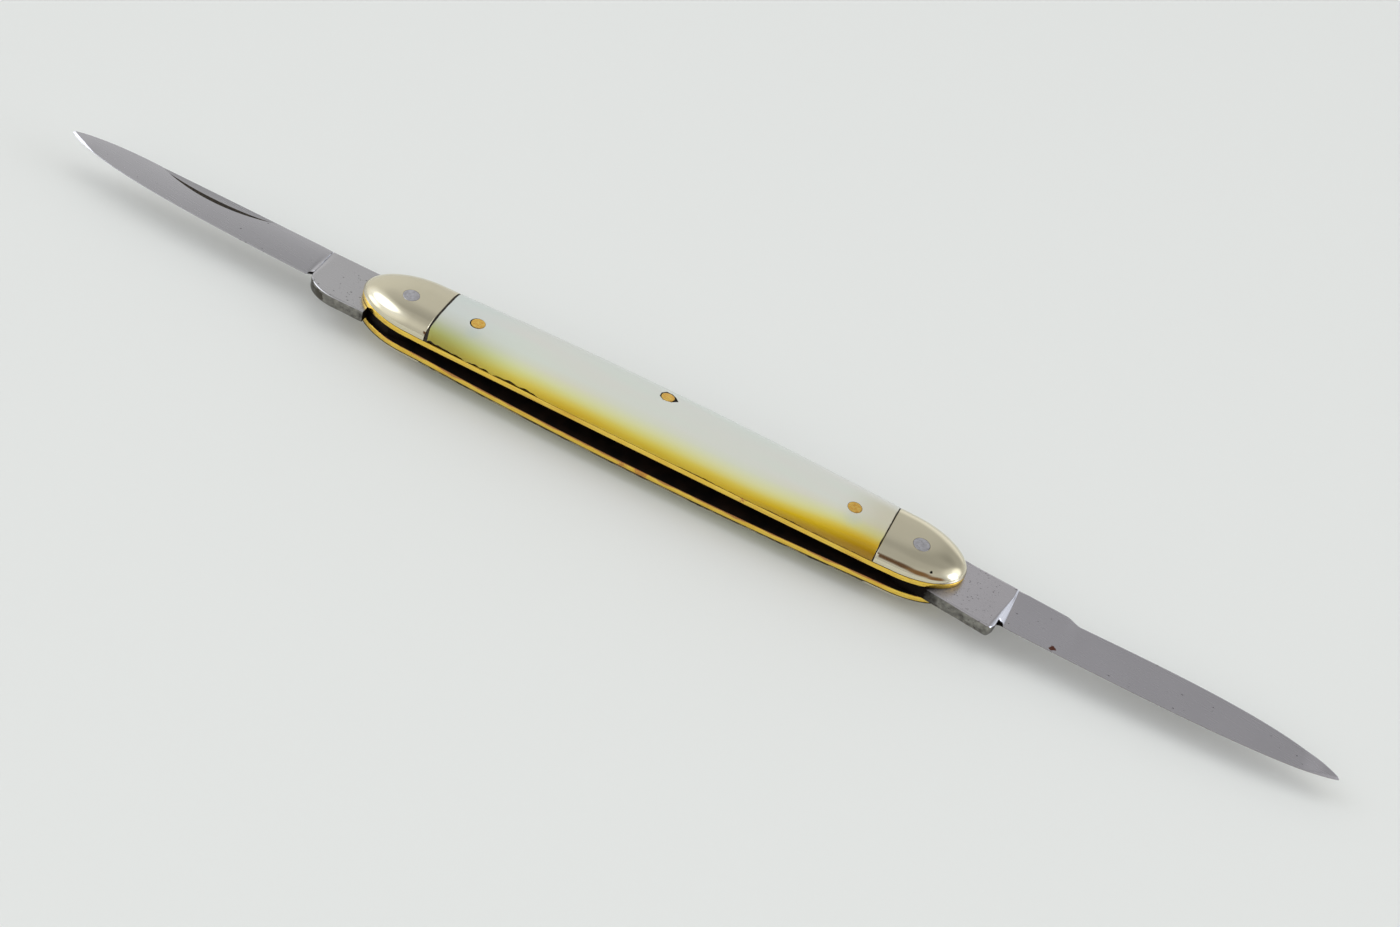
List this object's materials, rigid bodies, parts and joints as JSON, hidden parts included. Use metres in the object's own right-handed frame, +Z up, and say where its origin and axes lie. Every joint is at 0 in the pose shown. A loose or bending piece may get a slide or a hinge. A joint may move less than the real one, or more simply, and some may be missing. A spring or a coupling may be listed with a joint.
{
  "type": "two-blade slip-joint pen knife",
  "caption": "Slim folding pocket knife with a master blade and a pen blade hinged at opposite ends, pearl scales, polished bolsters and brass liners, blades open.",
  "frame": {"origin": "on the flat of the pile side scale's crest, at mid-length of the handle, where the knife rests", "axes": "+X along the handle towards the pen blade, +Y towards the back spring's edge, +Z up through the mark side"},
  "size_m": [0.1609, 0.01, 0.0079],
  "materials": {
    "liner_brass": "satin",
    "spring_steel": "satin",
    "pearl": "gloss",
    "nickel_silver": "polished",
    "blade_steel": "satin",
    "pin_steel": "satin",
    "pin_brass": "satin"
  },
  "bodies": {
    "handle": {"mark_liner": "liner_brass", "pile_liner": "liner_brass", "backspring": "spring_steel", "mark_scale": "pearl", "pile_scale": "pearl", "mark_master_bolster": "nickel_silver", "mark_pen_bolster": "nickel_silver", "pile_master_bolster": "nickel_silver", "pile_pen_bolster": "nickel_silver", "master_pivot_pin": "pin_steel", "pen_pivot_pin": "pin_steel", "spring_pin": "pin_brass", "mark_scale_pins": "pin_brass", "pile_scale_pins": "pin_brass"},
    "master": {"master_blade": "blade_steel"},
    "pen": {"pen_blade": "blade_steel"}
  },
  "joints": [
    {"name": "master_hinge", "type": "hinge", "parent": "handle", "child": "master", "pos_m": [-0.0318, -0.00078, 0.00396], "axis": [0, 0, 1], "range_deg": [0, 179]},
    {"name": "pen_hinge", "type": "hinge", "parent": "handle", "child": "pen", "pos_m": [0.0318, -0.00078, 0.00396], "axis": [0, 0, -1], "range_deg": [0, 177.5]}
  ]
}
